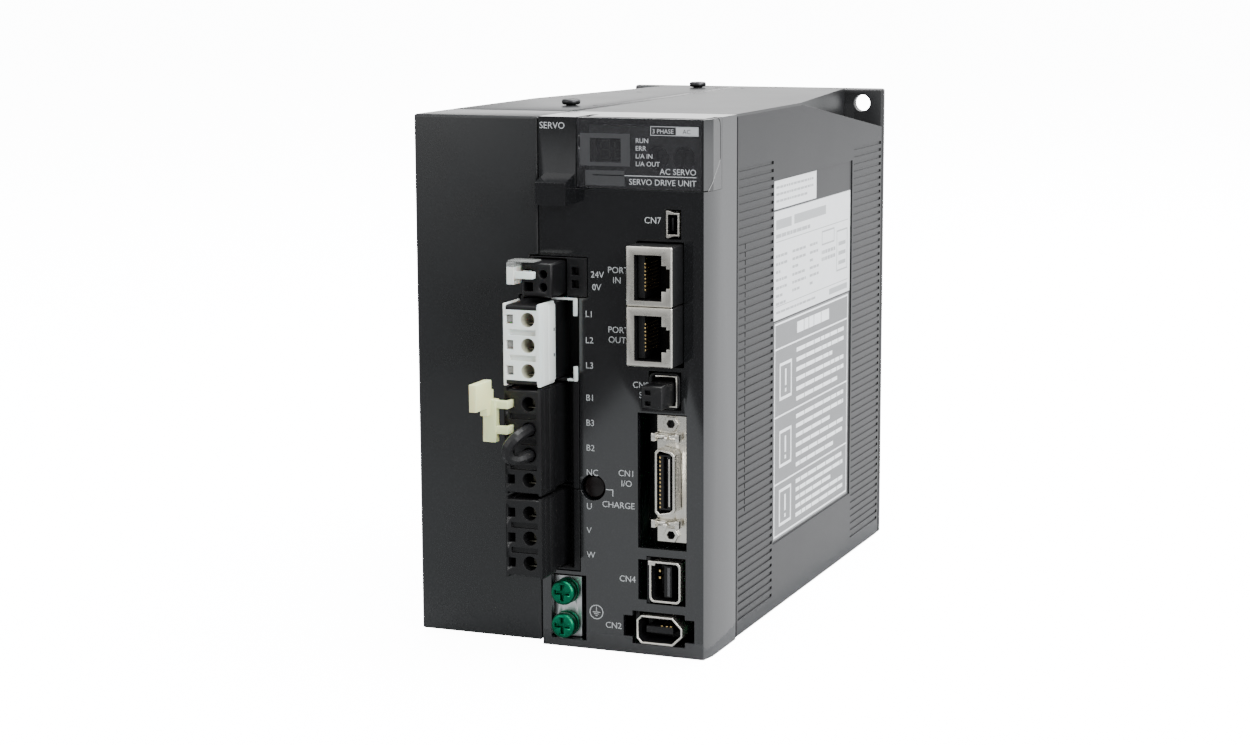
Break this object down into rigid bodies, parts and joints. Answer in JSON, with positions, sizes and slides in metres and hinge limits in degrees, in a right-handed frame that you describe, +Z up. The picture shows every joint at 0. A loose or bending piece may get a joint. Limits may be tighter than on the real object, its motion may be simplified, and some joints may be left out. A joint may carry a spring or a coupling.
{
  "type": "AC servo drive",
  "caption": "Panel-mounted AC servo drive in a black two-part casing with plug-in terminals, shielded sockets and a hinged smoked display cover.",
  "frame": {"origin": "middle of the bottom of the whole assembly's box, with the operating levers at rest", "axes": "+X to the right of the front face, +Y from the front to the mounting plate, +Z up"},
  "size_m": [0.088, 0.2, 0.1519],
  "materials": {
    "black_housing": "semi-gloss black moulded housing",
    "grey_black_case": "grey-black ribbed casing",
    "black_plastic": "matt black moulded insulator",
    "smoked_clear": "smoked clear plastic",
    "display_grey": "dark grey printed panel",
    "white_plastic": "off-white terminal plastic",
    "cream_plastic": "cream natural plastic",
    "nickel": "nickel plated connector shell",
    "zinc_plate": "zinc plated steel",
    "green_screw": "green passivated screw",
    "black_screw": "black plated steel",
    "die_cast": "die-cast aluminium plate",
    "aluminium": "extruded aluminium",
    "circuit_board": "green solder-mask laminate",
    "capacitor_sleeve": "shrunk sleeve",
    "amber_tape": "amber winding tape",
    "lamp_lens": "dark red lens"
  },
  "bodies": {
    "drive": {"back_plate": "die_cast", "right_case": "grey_black_case", "left_case": "grey_black_case", "case_screw_front": "black_screw", "case_screw_rear": "black_screw", "front_cover": "black_housing", "left_panel": "black_housing", "display_panel": "display_grey", "display_module": "black_plastic", "dial_1_body": "black_plastic", "dial_2_body": "black_plastic", "mains_header": "white_plastic", "regen_header": "black_plastic", "motor_header": "black_plastic", "supply_header": "black_plastic", "network_in_shield": "nickel", "network_in_contacts": "black_plastic", "network_out_shield": "nickel", "network_out_contacts": "black_plastic", "usb_socket": "nickel", "safety_socket": "black_plastic", "io_bracket": "nickel", "io_shell": "nickel", "io_insulator": "black_plastic", "io_bail_upper": "nickel", "io_bail_lower": "nickel", "external_encoder_shell": "nickel", "external_encoder_core": "black_plastic", "motor_encoder_shell": "nickel", "motor_encoder_core": "black_plastic", "earth_plate": "zinc_plate", "charge_lamp": "lamp_lens", "heat_sink": "aluminium", "power_module": "black_plastic", "power_board": "circuit_board", "control_board": "circuit_board", "bus_capacitor_1": "capacitor_sleeve", "bus_capacitor_2": "capacitor_sleeve", "bus_capacitor_3": "capacitor_sleeve", "transformer_core": "black_screw", "transformer_coil": "amber_tape", "fan_frame": "black_plastic"},
    "display_cover": {"display_cover": "smoked_clear"},
    "dial_1": {"dial_1_rotor": "black_plastic"},
    "dial_2": {"dial_2_rotor": "black_plastic"},
    "supply_plug": {"supply_plug": "black_plastic"},
    "supply_lever": {"supply_lever": "cream_plastic"},
    "mains_plug": {"mains_plug": "white_plastic"},
    "regen_plug": {"regen_plug": "black_plastic", "jumper_wire": "black_plastic"},
    "regen_lever": {"regen_lever": "cream_plastic"},
    "motor_plug": {"motor_plug": "black_plastic"},
    "safety_plug": {"safety_plug": "black_plastic"},
    "fan_rotor": {"fan_rotor": "black_plastic"},
    "earth_washer_1": {"earth_washer_1": "green_screw"},
    "earth_washer_2": {"earth_washer_2": "green_screw"},
    "earth_screw_1": {"earth_screw_1": "green_screw"},
    "earth_screw_2": {"earth_screw_2": "green_screw"}
  },
  "joints": [
    {"name": "display_cover_hinge", "type": "hinge", "parent": "drive", "child": "display_cover", "pos_m": [0.044, -0.0642, 0.1474], "axis": [-1, 0, 0], "range_deg": [0, 95]},
    {"name": "dial_1_turn", "type": "hinge", "parent": "drive", "child": "dial_1", "pos_m": [0.0282, -0.0684, 0.139], "axis": [0, -1, 0], "continuous": true},
    {"name": "dial_2_turn", "type": "hinge", "parent": "drive", "child": "dial_2", "pos_m": [0.0361, -0.0684, 0.139], "axis": [0, -1, 0], "continuous": true},
    {"name": "supply_plug_slide", "type": "slide", "parent": "drive", "child": "supply_plug", "axis": [0, -1, 0], "range_m": [0, 0.01]},
    {"name": "supply_lever_press", "type": "hinge", "parent": "supply_plug", "child": "supply_lever", "pos_m": [-0.0078, -0.0836, 0.1074], "axis": [0, 0, 1], "range_deg": [0, 8]},
    {"name": "mains_plug_slide", "type": "slide", "parent": "drive", "child": "mains_plug", "axis": [0, -1, 0], "range_m": [0, 0.012]},
    {"name": "regen_plug_slide", "type": "slide", "parent": "drive", "child": "regen_plug", "axis": [0, -1, 0], "range_m": [0, 0.012]},
    {"name": "regen_lever_press", "type": "hinge", "parent": "regen_plug", "child": "regen_lever", "pos_m": [-0.0112, -0.0886, 0.0685], "axis": [0, 0, 1], "range_deg": [0, 8]},
    {"name": "motor_plug_slide", "type": "slide", "parent": "drive", "child": "motor_plug", "axis": [0, -1, 0], "range_m": [0, 0.012]},
    {"name": "safety_plug_slide", "type": "slide", "parent": "drive", "child": "safety_plug", "axis": [0, -1, 0], "range_m": [0, 0.009]},
    {"name": "fan_spin", "type": "hinge", "parent": "drive", "child": "fan_rotor", "pos_m": [-0.0229, 0.023, 0.01], "axis": [0, 0, 1], "continuous": true},
    {"name": "earth_washer_1_slide", "type": "slide", "parent": "drive", "child": "earth_washer_1", "axis": [0, -1, 0], "range_m": [0, 0.0014]},
    {"name": "earth_screw_1_turn", "type": "hinge", "parent": "earth_washer_1", "child": "earth_screw_1", "pos_m": [0.0011, -0.072, 0.0159], "axis": [0, -1, 0], "range_deg": [0, 720]},
    {"name": "earth_washer_2_slide", "type": "slide", "parent": "drive", "child": "earth_washer_2", "axis": [0, -1, 0], "range_m": [0, 0.0014]},
    {"name": "earth_screw_2_turn", "type": "hinge", "parent": "earth_washer_2", "child": "earth_screw_2", "pos_m": [0.0011, -0.072, 0.0063], "axis": [0, -1, 0], "range_deg": [0, 720]}
  ],
  "couplings": [
    {"joint": "earth_screw_1_turn", "follows": "earth_washer_1_slide", "rad_per_m": 8975.9},
    {"joint": "earth_screw_2_turn", "follows": "earth_washer_2_slide", "rad_per_m": 8975.9}
  ]
}
